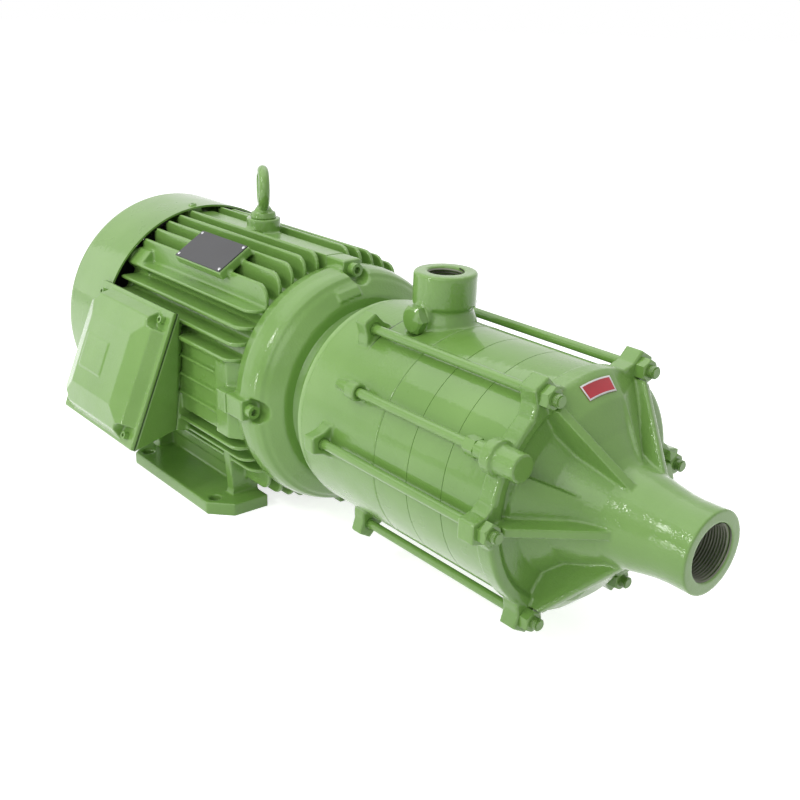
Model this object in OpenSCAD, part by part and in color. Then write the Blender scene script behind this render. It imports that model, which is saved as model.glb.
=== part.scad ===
// Close-coupled horizontal multistage pump.
// The shaft line runs along X, from the fan cover to the suction nozzle. The origin lies on the
// floor, at the centre of the four foot holes.

/* [Feet and shaft line] */
// Height of the shaft line above the floor
shaft_h = 132; // [131.5:0.5:160]
// Distance between the foot holes across the motor
foot_gauge = 216; // [206:1:240]
// Distance between the foot holes along the motor
foot_base = 140; // [120:1:160]
// Diameter of a foot hole
foot_hole_d = 12; // [8:0.5:16]
// Thickness of a foot plate
foot_t = 13; // [10:1:18]
// Length of a foot plate along the motor
foot_l = 190; // [180:1:210]
// Overhang of a foot plate outside its holes
foot_margin = 13; // [12:1:24]

/* [Motor frame] */
// Distance from the foot centre to the front end of the frame
frame_front = 120; // [116:1:130]
// Length of the frame's shell
frame_l = 238; // [236:1:260]
// Inner radius of the frame's shell
frame_bore_r = 98; // [96:1:99]
// Wall thickness of the frame's shell
frame_wall = 8; // [6:1:9]
// Radius that the cooling fins reach
fin_r = 128; // [124:1:131]
// Distance between neighbouring fins
fin_pitch = 14; // [13:0.5:16]
// Thickness of a fin
fin_t = 3.6; // [2.5:0.1:5]
// Radius of the fins' front corners
fin_corner_r = 13; // [6:1:18]
// Radius of the circle of the shield screws
shield_screw_r = 114; // [112:0.5:116]
// Thread diameter of a shield screw
shield_screw_d = 8; // [6:0.5:10]
// Diameter of the lifting eye bolt's thread
eye_bolt_d = 12; // [10:1:16]

/* [Rotor and stator] */
// Length of the laminated core
core_l = 150; // [120:1:160]
// Radius of the rotor core
rotor_r = 57.5; // [50:0.5:60]
// Air gap between rotor and stator
air_gap = 0.5; // [0.3:0.1:1]
// Reach of the winding beyond the core
winding_l = 28; // [20:1:30]
// Diameter of the shaft under the rotor core
core_shaft_d = 48; // [44:1:52]
// Diameter of the shaft under the impellers
pump_shaft_d = 28; // [24:1:30]

/* [Bearings] */
// Bore of both ball bearings
bearing_bore = 40; // [38:1:42]
// Outside diameter of both ball bearings
bearing_od = 90; // [84:1:92]
// Width of both ball bearings
bearing_w = 23; // [20:1:24]
// Diameter of a bearing ball
ball_d = 15; // [12:0.5:15.5]
// Number of balls in a bearing
ball_count = 8; // [7:1:8]

/* [Fan and cover] */
// Outer radius of the fan cover
cover_r = 130; // [128:0.5:131]
// Depth of the fan cover
cover_l = 96; // [92:1:110]
// Sheet thickness of the fan cover
cover_t = 2; // [1.5:0.5:3]
// Outer radius of the cooling fan
fan_r = 111; // [90:1:112]
// Number of fan blades
fan_blades = 7; // [5:1:9]

/* [Terminal box] */
// Width of the terminal box's rim along the motor
box_w = 152; // [146:1:156]
// Height of the terminal box's rim along its slope
lid_h = 140; // [130:1:144]
// Distance from the foot centre to the front side of the rim
box_front = 29; // [26:1:34]
// Slope of the lid, from upright
box_tilt = 22.8; // [20:0.2:25]
// Wall thickness of the terminal box
box_wall = 5; // [4:0.5:7]
// Thickness of the lid's edge
lid_t = 4; // [3:0.5:6]
// Height of the lid's raised middle
lid_rise = 18; // [12:1:22]
// Thickness of the lid gasket
gasket_t = 1; // [0.8:0.1:1.5]
// Wall radius of the cable entry
entry_r = 15.2; // [12:0.1:16]

/* [Drive end shield] */
// Distance from the frame to the shield's front face
shield_l = 52; // [50:1:56]
// Greatest radius of the shield
shield_r = 116; // [114:0.5:118]
// Radius of the shield's front face
shield_face_r = 92; // [90:1:98]
// Radius of the bracket's register in the shield
register_r = 52; // [50:0.5:54]

/* [Pump bracket] */
// Length of the bracket between shield and casing
bracket_l = 30; // [29:1:34]
// Step down from the barrel to the bracket's rim
bracket_step = 2; // [1:0.5:6]
// Step down from the bracket's rim to its neck
bracket_neck = 15; // [12:0.5:18]
// Radius of the circle of the bracket screws
bracket_screw_r = 66; // [64:0.5:67]

/* [Pump barrel] */
// Outside radius of the barrel
barrel_r = 97; // [96:0.5:99]
// Wall thickness of the barrel
barrel_wall = 9; // [8:0.5:10]
// Length of the discharge casing
discharge_l = 102; // [98:1:110]
// Length of one stage
stage_l = 40; // [39:0.5:44]
// Thickness of a stage's end wall
stage_wall = 5; // [4:0.5:6]
// Depth of the spigot between casings
spigot_l = 4; // [3:0.5:5]
// Radial thickness of the spigot
spigot_t = 3.4; // [3:0.1:4]

/* [Tie rods] */
// Distance from the barrel's outside to the centre of a tie rod
rod_gap = 8; // [7.5:0.5:10]
// Diameter of a tie rod's shank
rod_d = 8; // [7:0.5:9]
// Thread diameter of a tie rod's ends
rod_thread_d = 10; // [9:0.5:10]
// Width across flats of a tie rod nut
nut_af = 16; // [15:0.5:17]
// Thickness of a tie rod nut
nut_t = 8.4; // [7:0.1:10]
// Reach of a casing lug beyond the centre of its tie rod
lug_reach = 12; // [11:0.5:14]
// Thickness of a lug on the discharge casing
lug_t = 13; // [11:1:16]

/* [Suction cover] */
// Thickness of the suction cover's rim
rim_t = 16; // [15:0.5:18]
// Step up from the barrel to the suction cover's rim
rim_step = 2; // [1:0.5:4]
// Length from the rim's rear face to the nozzle's mouth
cover_reach = 132; // [130:1:140]
// Outside radius of the suction nozzle
nozzle_r = 32.4; // [31:0.1:36]
// Wall radius of the suction thread
suction_r = 22.4; // [20:0.1:23]
// Depth of the suction thread
suction_depth = 26; // [20:1:30]
// Thickness of the cover's ribs
rib_t = 7; // [5:0.5:9]

/* [Discharge port] */
// Distance from the casing's rear face to the port's axis
port_back = 71; // [68:1:73]
// Height of the port's mouth above the shaft line
port_h = 139; // [130:1:150]
// Outside radius of the port's collar
port_r = 26.8; // [25:0.1:28]
// Outside radius of the port's neck
port_neck_r = 24.6; // [22:0.1:24.8]
// Height of the collar
collar_h = 28; // [22:1:30]
// Wall radius of the discharge thread
discharge_r = 15.1; // [13:0.1:16]
// Depth of the discharge thread
discharge_depth = 20; // [16:1:24]
// Width across flats of the priming plug
plug_af = 22; // [19:0.5:24]

/* [Impellers and diffusers] */
// Distance from an impeller's rim to the barrel's inside
impeller_gap = 12; // [12:0.5:18]
// Radius of an impeller's eye neck
eye_r = 34; // [32:0.5:34.5]
// Number of impeller vanes
vanes = 6; // [4:1:7]
// Number of diffuser vanes
diffuser_vanes = 7; // [5:1:9]

/* [Balance pipe] */
// Outside diameter of the balance pipe
pipe_d = 8; // [6:0.5:9]
// Angle of the balance pipe round the barrel
pipe_angle = 150.5; // [150:0.5:151]

/* [Hidden] */
$fn = 96;

// Paint and metal colours
paint = [0.50, 0.66, 0.39];
steel = [0.72, 0.73, 0.75];
dark_steel = [0.35, 0.36, 0.38];
copper = [0.72, 0.42, 0.20];
plastic = [0.16, 0.17, 0.18];
bronze = [0.70, 0.52, 0.28];
water_plastic = [0.30, 0.31, 0.33];
rubber = [0.08, 0.08, 0.09];

// Clearances
run_gap = 0.3;

// Stations along the shaft line
frame_back = frame_front - frame_l;
shield_face = frame_front + shield_l;
casing_back = shield_face + bracket_l;
cover_front = frame_back + 5;
casing_front = casing_back + discharge_l;
cover_back = casing_front + 3 * stage_l;
rim_front = cover_back + rim_t;
nozzle_face = cover_back + cover_reach;
port_x = casing_back + port_back;
function stage_front(k) = cover_back - (k - 1) * stage_l;

// Frame shell and its fittings
frame_r = frame_bore_r + frame_wall;
fin_front = frame_front - 1;
fin_back = cover_front + 1;
fin_step = 2.5;
fin_first = 18.5;
side_fin_first = 9;
side_fin_r = fin_r - 5;
boss_r = 10;
block_l = 16;
core_half = core_l / 2;
winding_in = rotor_r + air_gap + 7;
winding_out = frame_bore_r - 6;
stator_bore_r = rotor_r + air_gap;
eye_boss_r = 17;
eye_boss_top = 136;
rib_top = 122.5;
rib_half = 10;
spigot_in = 6;

// Bearings: the front one in the drive end shield, the rear one in the rear shield
front_bearing_x = frame_front + 2;
rear_bearing_x = frame_back - bearing_w + 5;
race_t = (bearing_od - bearing_bore) / 4 - ball_d / 2 + 1.5;
pitch_r = (bearing_od + bearing_bore) / 4;
hub_r = bearing_od / 2 + 12;
lip_r = bearing_od / 2 - 7;
spring_t = 1.6;

// Fan cover and fan
cover_back_x = cover_front - cover_l;
cover_round = 16;
fan_x = rear_bearing_x - 34;
fan_hub_r = 24;
fan_hub_l = 24;
fan_seat_r = 14;
circlip_t = 1.2;
circlip_in = 1;
cover_screw_a = [5, 95, 185, 275];
rear_screw_a = [45, 135, 225, 315];
front_screw_a = [0, 90, 180, 270];
cover_lug_r = cover_r - cover_t;

// Terminal box: the middle of its rim, measured from the shaft line, and the seat on the frame
rim_mid = [-144, -3.6];
box_x = box_front - box_w / 2;
pad_top = [-103, 23];
pad_low = [-116, -65];
seat_front = box_front - 18;
seat_back = box_front - 137;
lid_screw_in = [14, 11];
side_gap = 0.3;
seat_gap = 0.05;
seat_tilt = atan((pad_top[0] - pad_low[0]) / (pad_top[1] - pad_low[1]));
recess_screw_r = 10;
entry_x = box_x + 22;
entry_y = -136;
entry_low = -70;
entry_boss_r = entry_r + 6;
entry_boss_l = 12;
cover_relief = 1.2;
shield_screw_l = 40;
ear_l = 27;
ear_out = 8.5;
ear_foot = 16;
pocket_r = 11.5;
rear_screw_l = 31;
lid_screw_l = 20;
cover_screw_l = 12;
// Low enough that the lowest head stays above the feet
cover_head_h = 1.8;

// Flat panel on the frame's side, in front of the terminal box
panel_y = -112;
panel_top = 36;
panel_low = -42;
panel_front = 106;
panel_split = 84;

// Shaft radii
bearing_shaft_r = bearing_bore / 2;
seal_shaft_r = bearing_shaft_r - 1;
pump_shaft_r = pump_shaft_d / 2;
shaft_end = cover_back + 12;

// Pump bracket, mechanical seal and slinger
bracket_spigot_r = barrel_r - 19;
bracket_spigot_l = 6;
seal_bore_r = 30;
seal_face = casing_back + bracket_spigot_l;
seat_l = 11;
head_l = 14;
seal_spring_l = 15;
slinger_l = 7;
bracket_screw_d = 10;

// Casings
barrel_bore_r = barrel_r - barrel_wall;
bracket_r = barrel_r - bracket_step;
bracket_neck_r = bracket_r - bracket_neck;
rod_circle_r = barrel_r + rod_gap;
lug_r = rod_circle_r + lug_reach;
rim_r = barrel_r + rim_step;
impeller_r = barrel_bore_r - impeller_gap;
recess_r = barrel_bore_r + spigot_t + 0.1;
chamber_r = barrel_bore_r - 4;
back_wall = 10;
rim_gap = 1.2;
lug_front = casing_back + 46;
tie_angles = [0, 60, 120, 180, 240, 300];
lug_half = 7;
lug_foot = 14;
ring_seat_r = eye_r + 4;
ring_section = 1;
flare_r = discharge_l - port_back - 0.2;
plug_z = port_h - collar_h - 9;
plug_seat = port_neck_r + 4;
plug_head = 8;
plug_thread_d = 14;

// Stage layout, measured back from each stage's front plane
shroud_in = 2;
shroud_t = 3;
vane_w = 7;
hub_back = 22;
hub_front = 5;
hub_out_r = pump_shaft_r + 8;
sleeve_r = pump_shaft_r + 4;
eye_bore_r = eye_r - 5;
vane_in_r = hub_out_r + 4;
vane_out_r = impeller_r - 0.6;
vane_sweep = 100;
vane_half = 2.2;
vane_steps = 8;
disc_in = 17;
disc_t = 3;
disc_r = barrel_bore_r - 4;

// Suction cover
throat_r = eye_r - 1;
nozzle_start = nozzle_face - 30;
thread_end = nozzle_face - suction_depth;
passage_r = suction_r - 2;
key_w = 5;
key_rise = 2;

// Balance pipe
pipe_boss_x = casing_back + 75;
pipe_nut_x = cover_back - 20;
pipe_nut_l = 11;
pipe_adapter_x = cover_back - 8;
pipe_boss_r = 7.8;
cover_boss_r = 14;
cover_boss_x = cover_back + 2.5;
cover_channel_r = 11;
cover_channel_l = 17;
pipe_in = 7;
pipe_seat_x = cover_back + 20;
adapter_r = 7;

// Radius of a hexagon's corners for a width across flats
function across(af) = af / sqrt(3);
// Points of a quarter ellipse from [r0, x0] to [r1, x1], leaving along X
function bend(r0, x0, r1, x1, n = 9) =
  [for (i = [0:n]) let (a = 90 * i / n) [r1 + (r0 - r1) * cos(a), x0 + (x1 - x0) * sin(a)]];

// Places children on the shaft line, turned round it so that Y points at the angle
module on_shaft(a = 0) { translate([0, 0, shaft_h]) rotate([a, 0, 0]) children(); }
// Turns a profile of [radius, station] points round the shaft line
module turned() { on_shaft() rotate([0, 90, 0]) rotate_extrude() children(); }
// A bar along X between two stations
module bar(x0, x1, r) { translate([x0, 0, 0]) rotate([0, 90, 0]) cylinder(h = x1 - x0, r = r); }
// A hexagonal bar along X between two stations
module hex_bar(x0, x1, af) {
  translate([x0, 0, 0]) rotate([0, 90, 0]) cylinder(h = x1 - x0, r = across(af), $fn = 6);
}
// A hexagonal head along Z from the origin, its top edge cut back by a cone
module hex_head(af, h, top_r) {
  drop = (across(af) - top_r) * 0.7;
  intersection() {
    cylinder(h = h, r = across(af), $fn = 6);
    union() {
      cylinder(h = h - drop, r = across(af) + 1);
      translate([0, 0, h - drop - 0.1]) cylinder(h = drop + 0.1, r1 = across(af) + 0.1, r2 = top_r);
    }
  }
}
// A ring round the shaft line
module ring(x0, x1, r_in, r_out) {
  on_shaft() difference() {
    bar(x0, x1, r_out);
    bar(x0 - 1, x1 + 1, r_in);
  }
}
// A flat outline of [y, z] points, drawn out along X
module along_x(x0, x1) { translate([x0, 0, 0]) rotate([90, 0, 90]) linear_extrude(x1 - x0) children(); }
// A slab of [x, radius] points, standing on the shaft line at an angle
module radial_slab(a, t) {
  on_shaft(a - 90) translate([0, t / 2, 0]) rotate([90, 0, 0]) linear_extrude(t) children();
}
// Places children at the terminal box lid: X along the motor, Y up the slope, Z outwards
module on_lid() {
  translate([box_x, rim_mid[0], shaft_h + rim_mid[1]]) rotate([90 - box_tilt, 0, 0]) children();
}
// A socket head screw along X, with its head's seat at the origin and its shank towards -X
module socket_screw(d, l) {
  difference() {
    union() {
      bar(-l, 0, d / 2);
      bar(0, d, d * 0.75);
    }
    hex_bar(d * 0.4, d + 1, d * 0.75);
  }
}

// The outline of one fin, from its foot to its top, with a round front corner
module fin_outline(reach) {
  l = fin_front - fin_back;
  square([l - fin_corner_r, reach]);
  square([l, reach - fin_corner_r]);
  translate([l - fin_corner_r, reach - fin_corner_r]) circle(r = fin_corner_r);
}
// One fin that stands up at a distance off the middle, reaching up to a radius
module fin(off, reach) {
  edge = abs(off) + fin_t / 2;
  top = sqrt(reach * reach - edge * edge);
  low = sqrt(pow(min(reach, cover_r - cover_t - fin_step), 2) - edge * edge);
  foot = sqrt(pow(frame_r, 2) - pow(min(edge, frame_r - 1), 2)) - 2;
  translate([fin_back, off + fin_t / 2, foot]) rotate([90, 0, 0]) linear_extrude(fin_t) {
    fin_outline(top - foot);
    // A lower step that runs under the fan cover
    translate([frame_back + 1 - fin_back, 0]) square([fin_back - frame_back, low - foot]);
  }
}

module foot(side) {
  out = foot_gauge / 2 + foot_margin;
  inner = 62;
  cut = 20;
  mirror([0, side, 0]) difference() {
    union() {
      linear_extrude(foot_t) polygon([[-foot_l / 2, inner], [foot_l / 2, inner],
        [foot_l / 2, out - cut], [foot_l / 2 - cut, out], [-foot_l / 2 + cut, out],
        [-foot_l / 2, out - cut]]);
      // Webs that carry the shell on the foot
      for (x = [-foot_l / 2 + 8, foot_l / 2 - 30])
        along_x(x, x + 12) polygon([[inner, 0], [out - 26, 0], [out - 30, foot_t + 6],
          [frame_r - 8, shaft_h - 34], [frame_r - 26, shaft_h - 34], [inner, shaft_h - 70]]);
      along_x(-foot_l / 2 + 8, foot_l / 2 - 18) polygon([[inner, 0], [inner + 12, 0],
        [inner + 12, shaft_h - 78], [inner, shaft_h - 70]]);
    }
    for (x = [-1, 1]) translate([x * foot_base / 2, foot_gauge / 2, -1])
      cylinder(h = foot_t + 2, d = foot_hole_d);
  }
}

// A block on the shell that takes a shield screw, towards the front or the back
module screw_block(x0, x1) {
  translate([x0, frame_r - 4, -boss_r]) cube([x1 - x0, shield_screw_r + ear_out - frame_r + 4, 2 * boss_r]);
}

module motor_frame() {
  color(paint) difference() {
    union() {
      on_shaft() bar(frame_back, frame_front, frame_r);
      on_shaft() {
        for (i = [0:4]) for (s = [-1, 1]) {
          off = s * (fin_first + i * fin_pitch);
          fin(off, fin_r);
          rotate([180, 0, 0]) fin(off, fin_r);
        }
        for (i = [0:5]) for (s = [-1, 1]) {
          off = s * (side_fin_first + i * fin_pitch);
          rotate([-90, 0, 0]) fin(off, side_fin_r);
          // The panel takes the place of the middle fins on the terminal box's side
          if (off > panel_top || off < panel_low) rotate([90, 0, 0]) fin(off, side_fin_r);
        }
      }
      for (a = front_screw_a) on_shaft(a) screw_block(frame_front - block_l, frame_front);
      for (a = rear_screw_a) on_shaft(a) screw_block(frame_back, frame_back + 26);
      // Broad rib along the top, and the lifting boss
      on_shaft(90) translate([frame_back + 1, frame_r - 4, -rib_half])
        cube([frame_l - 1, rib_top - frame_r + 4, 2 * rib_half]);
      translate([0, 0, shaft_h + frame_r - 4]) cylinder(h = eye_boss_top - frame_r + 4, r = eye_boss_r);
      // Seat of the terminal box
      on_shaft() along_x(seat_back, seat_front) polygon([[-80, 40], pad_top, pad_low, [-70, -78]]);
      side_panel();
      nameplate_pad();
      foot(0);
      foot(1);
    }
    on_shaft() bar(frame_back - 1, frame_front + 1, frame_bore_r);
    // Room for the terminal box outside its seat
    box_shape(-side_gap, -seat_gap);
    translate([entry_x, entry_y, shaft_h + entry_low - 4 - side_gap])
      cylinder(h = entry_boss_l + 2 * side_gap, r = entry_boss_r + side_gap);
    for (a = front_screw_a) on_shaft(a) translate([0, shield_screw_r, 0])
      bar(frame_front - block_l + 1, frame_front + 1, shield_screw_d / 2);
    for (a = rear_screw_a) on_shaft(a) translate([0, shield_screw_r, 0])
      bar(frame_back - 1, frame_back + 22, shield_screw_d / 2);
    translate([0, 0, shaft_h + eye_boss_top - 20]) cylinder(h = 21, d = eye_bolt_d);
    for (x = box_screw_x()) for (z = box_screw_z()) on_seat(x, z) translate([0, 6, 0])
      rotate([90, 0, 0]) cylinder(h = 20, d = 5);
    for (p = rivet_places()) on_nameplate() translate([p[0], p[1], -4]) cylinder(h = 5, d = rivet_d);
  }
}

// Flat pad with a slanted front corner and three low ribs behind it
module side_panel() {
  rib_count = 3;
  h = panel_top - panel_low;
  on_shaft() {
    translate([0, 0, panel_low]) linear_extrude(h) polygon([[panel_split, panel_y], [panel_front, panel_y],
      [frame_front, panel_y + 10], [frame_front, panel_y + 24], [panel_split, panel_y + 30]]);
    translate([seat_front, panel_y + 5, panel_low]) cube([panel_split - seat_front + 1, 25, h]);
    translate([seat_front, panel_y - 3, panel_top - 3]) cube([panel_front - seat_front, 30, 3]);
    for (i = [1:rib_count]) translate([seat_front, panel_y, panel_top - i * h / (rib_count + 1) - 1.5])
      cube([panel_split - seat_front, 20, 3]);
  }
}

// Where the terminal box meets its seat at a given height
function seat_y(z) = pad_top[0] + (pad_low[0] - pad_top[0]) * (pad_top[1] - z) / (pad_top[1] - pad_low[1]);
// Places children on the seat, with -Y pointing out of it
module on_seat(x, z) { on_shaft() translate([x, seat_y(z), z]) rotate([-seat_tilt, 0, 0]) children(); }
function box_screw_x() = [(seat_front + seat_back) / 2 - 40, (seat_front + seat_back) / 2 + 40];
function box_screw_z() = [-42, 6];

// Nameplate: over the top fins on the side of the terminal box
plate_l = 82;
plate_w = 38;
plate_angle = 122;
plate_x = 15;
plate_t = 1;
rivet_d = 2;
pad_t = 9;
plate_seat = fin_r + 5.4;
function rivet_places() = [for (x = [-1, 1]) for (y = [-1, 1])
  [x * (plate_l / 2 - 3), y * (plate_w / 2 - 3)]];
module on_nameplate() {
  on_shaft(plate_angle) translate([plate_x, plate_seat, 0]) rotate([-90, 0, 0]) children();
}
module nameplate_pad() {
  on_nameplate() translate([-plate_l / 2 - 1, -plate_w / 2 - 1, -pad_t])
    cube([plate_l + 2, plate_w + 2, pad_t]);
}
module nameplate() {
  color(plastic) on_nameplate() difference() {
    translate([-plate_l / 2, -plate_w / 2, 0]) cube([plate_l, plate_w, plate_t]);
    for (p = rivet_places()) translate([p[0], p[1], -1]) cylinder(h = plate_t + 2, d = rivet_d);
  }
}
module nameplate_rivets() {
  color(steel) for (p = rivet_places()) on_nameplate() translate([p[0], p[1], -4]) {
    cylinder(h = 4 + plate_t, d = rivet_d);
    translate([0, 0, 4 + plate_t]) cylinder(h = 0.8, r1 = 0.8 * rivet_d, r2 = 0.5 * rivet_d);
  }
}

module drive_end_shield() {
  b = frame_front;
  // The dome's shoulder, between its side and its sloping front
  shoulder_r = shield_r - 8;
  shoulder_x = shield_face - 9;
  color(paint) difference() {
    union() {
      turned() polygon(concat([[bearing_od / 2, front_bearing_x - 4], [hub_r, front_bearing_x - 4],
        [hub_r, front_bearing_x + 12], [hub_r + 26, shield_face - 20], [shield_r - 16, shield_face - 32],
        [shield_r - 16, b + 8], [frame_bore_r - 8, b + 2], [frame_bore_r - 8, b - spigot_in],
        [frame_bore_r, b - spigot_in], [frame_bore_r, b], [shield_r - 4, b], [shield_r, b + 15]],
        bend(shield_r, b + 15, shoulder_r, shoulder_x - 3, 4),
        [[shoulder_r - 2.5, shoulder_x], [shield_face_r + 2, shield_face - 0.8], [shield_face_r, shield_face],
        [register_r, shield_face], [register_r, front_bearing_x + bearing_w + 7],
        [lip_r, front_bearing_x + bearing_w + 7], [lip_r, front_bearing_x + bearing_w],
        [bearing_od / 2, front_bearing_x + bearing_w]]));
      // Ears that take the shield screws
      for (a = front_screw_a) on_shaft(a) translate([b, shield_r - ear_foot, -boss_r])
        cube([ear_l, shield_screw_r + ear_out - shield_r + ear_foot, 2 * boss_r]);
      // Raised pad on the sloping front
      on_shaft(101) translate([shield_face - 5, shield_face_r + 7, 0]) rotate([0, 0, -53])
        cube([9, 4, 24], center = true);
    }
    for (a = front_screw_a) on_shaft(a) translate([0, shield_screw_r, 0]) {
      bar(b - 1, b + ear_l + 1, shield_screw_d / 2);
      // Pocket in the dome round the screw's head
      bar(b + ear_l, b + 60, pocket_r);
    }
    for (a = [45, 135, 225, 315]) on_shaft(a) translate([0, bracket_screw_r, 0])
      bar(shield_face - 16, shield_face + 1, bracket_screw_d / 2);
  }
}

module rear_end_shield() {
  b = frame_back;
  color(paint) difference() {
    union() {
      turned() polygon([[bearing_od / 2, b + 5], [hub_r, b + 5], [hub_r, b - 2], [88, b - 2],
        [88, b + 6], [frame_bore_r, b + 6], [frame_bore_r, b], [frame_r, b], [frame_r, b - 10],
        [hub_r + 10, b - 14], [hub_r, b - 26], [22, b - 26], [22, rear_bearing_x - spring_t],
        [bearing_od / 2, rear_bearing_x - spring_t]]);
      for (a = rear_screw_a) on_shaft(a) {
        translate([0, shield_screw_r, 0]) bar(b - 10, b, boss_r);
        translate([b - 10, frame_r - 6, -boss_r]) cube([10, shield_screw_r - frame_r + 6, 2 * boss_r]);
      }
      // Lugs that the fan cover is screwed to
      for (a = cover_screw_a) intersection() {
        on_shaft(a) translate([b - 10, frame_r - 8, -9]) cube([10, cover_r - frame_r + 8, 18]);
        on_shaft() bar(b - 11, b + 1, cover_lug_r);
      }
    }
    for (a = rear_screw_a) on_shaft(a) translate([0, shield_screw_r, 0])
      bar(b - 11, b + 1, shield_screw_d / 2);
    for (a = cover_screw_a) on_shaft(a) translate([b - 5, cover_lug_r - 12, 0])
      rotate([-90, 0, 0]) cylinder(h = 14, d = 5);
  }
}

module shield_screws() {
  color(dark_steel) {
    for (a = front_screw_a) on_shaft(a)
      translate([frame_front + ear_l, shield_screw_r, 0]) socket_screw(shield_screw_d, shield_screw_l);
    for (a = rear_screw_a) on_shaft(a) translate([frame_back - 10, shield_screw_r, 0])
      mirror([1, 0, 0]) socket_screw(shield_screw_d, rear_screw_l);
  }
}

module stator_core() {
  slots = 36;
  color(dark_steel) difference() {
    ring(-core_half, core_half, stator_bore_r, frame_bore_r);
    for (i = [0:slots - 1]) on_shaft(i * 360 / slots) translate([-core_half - 1, winding_in, -2.2])
      cube([core_l + 2, 14, 4.4]);
  }
}

module stator_winding() {
  slots = 36;
  color(copper) {
    for (s = [-1, 1]) turned() mirror([0, s < 0 ? 1 : 0]) polygon([[winding_in, core_half],
      [winding_in, core_half + winding_l - 8], [winding_in + 5, core_half + winding_l],
      [winding_out - 6, core_half + winding_l], [winding_out, core_half + winding_l - 8],
      [winding_out, core_half + 6], [winding_in + 14, core_half]]);
    for (i = [0:slots - 1]) on_shaft(i * 360 / slots) translate([-core_half - 1, winding_in, -2.2])
      cube([core_l + 2, 14, 4.4]);
  }
}

module rotor_core() {
  color(dark_steel) {
    ring(-core_half, core_half, core_shaft_d / 2, rotor_r);
    for (s = [-1, 1]) turned() mirror([0, s < 0 ? 1 : 0]) polygon([[rotor_r - 24, core_half],
      [rotor_r - 3, core_half], [rotor_r - 5, core_half + 13], [rotor_r - 24, core_half + 13]]);
  }
}

module shaft() {
  shoulder_r = bearing_shaft_r + 5;
  color(steel) difference() {
    turned() polygon([[0, fan_x - 6], [fan_seat_r, fan_x - 6], [fan_seat_r, rear_bearing_x - 6],
      [bearing_shaft_r - 1, rear_bearing_x - 6], [bearing_shaft_r - 1, rear_bearing_x],
      [bearing_shaft_r, rear_bearing_x], [bearing_shaft_r, rear_bearing_x + bearing_w],
      [shoulder_r, rear_bearing_x + bearing_w], [shoulder_r - 1, -core_half - 14],
      [core_shaft_d / 2, -core_half], [core_shaft_d / 2, core_half], [shoulder_r, core_half + 14],
      [shoulder_r, front_bearing_x], [bearing_shaft_r, front_bearing_x],
      [bearing_shaft_r, front_bearing_x + bearing_w], [seal_shaft_r, front_bearing_x + bearing_w],
      [seal_shaft_r, casing_back - 18], [pump_shaft_r, casing_back - 18], [pump_shaft_r, shaft_end - 1],
      [pump_shaft_r - 1, shaft_end], [0, shaft_end]]);
    on_shaft() translate([key_back(), pump_shaft_r - 3, -key_w / 2])
      cube([key_front() - key_back(), 4, key_w]);
    ring(fan_x - circlip_t, fan_x, fan_seat_r - circlip_in, fan_seat_r + 1);
  }
}

// The key runs under the four impellers
function key_back() = stage_front(4) - hub_back + 2;
function key_front() = stage_front(1) - hub_front - 2;

module bearing_outer(x) {
  color(steel) difference() {
    ring(x, x + bearing_w, bearing_od / 2 - race_t, bearing_od / 2);
    on_shaft() translate([x + bearing_w / 2, 0, 0]) rotate([0, 90, 0])
      rotate_extrude() translate([pitch_r, 0]) circle(d = ball_d);
  }
}
module bearing_inner(x) {
  color(steel) difference() {
    ring(x, x + bearing_w, bearing_bore / 2, bearing_bore / 2 + race_t);
    on_shaft() translate([x + bearing_w / 2, 0, 0]) rotate([0, 90, 0])
      rotate_extrude() translate([pitch_r, 0]) circle(d = ball_d + 2 * run_gap);
  }
}
module bearing_balls(x) {
  color(steel) for (i = [0:ball_count - 1]) on_shaft(i * 360 / ball_count)
    translate([x + bearing_w / 2, pitch_r, 0]) sphere(d = ball_d, $fn = 48);
}
module front_bearing_outer() { bearing_outer(front_bearing_x); }
module front_bearing_inner() { bearing_inner(front_bearing_x); }
module front_bearing_balls() { bearing_balls(front_bearing_x); }
module rear_bearing_outer() { bearing_outer(rear_bearing_x); }
module rear_bearing_inner() { bearing_inner(rear_bearing_x); }
module rear_bearing_balls() { bearing_balls(rear_bearing_x); }

module wave_spring() {
  color(steel) ring(rear_bearing_x - spring_t, rear_bearing_x, bearing_od / 2 - 6, bearing_od / 2 - 1);
}

module cooling_fan() {
  color(plastic) difference() {
    union() {
      on_shaft() bar(fan_x, fan_x + fan_hub_l, fan_hub_r);
      on_shaft() bar(fan_x + fan_hub_l - 4, fan_x + fan_hub_l, fan_r - 2);
      for (i = [0:fan_blades - 1]) on_shaft(i * 360 / fan_blades)
        translate([fan_x - 4, fan_hub_r - 3, -1.5]) cube([fan_hub_l + 2, fan_r - fan_hub_r + 3, 3]);
    }
    on_shaft() bar(fan_x - 5, fan_x + fan_hub_l + 1, fan_seat_r);
  }
}

module fan_circlip() {
  color(dark_steel) difference() {
    ring(fan_x - circlip_t, fan_x, fan_seat_r - circlip_in, fan_seat_r + 3);
    on_shaft() translate([fan_x - circlip_t - 1, 0, -3]) cube([circlip_t + 2, 30, 6]);
  }
}

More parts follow.
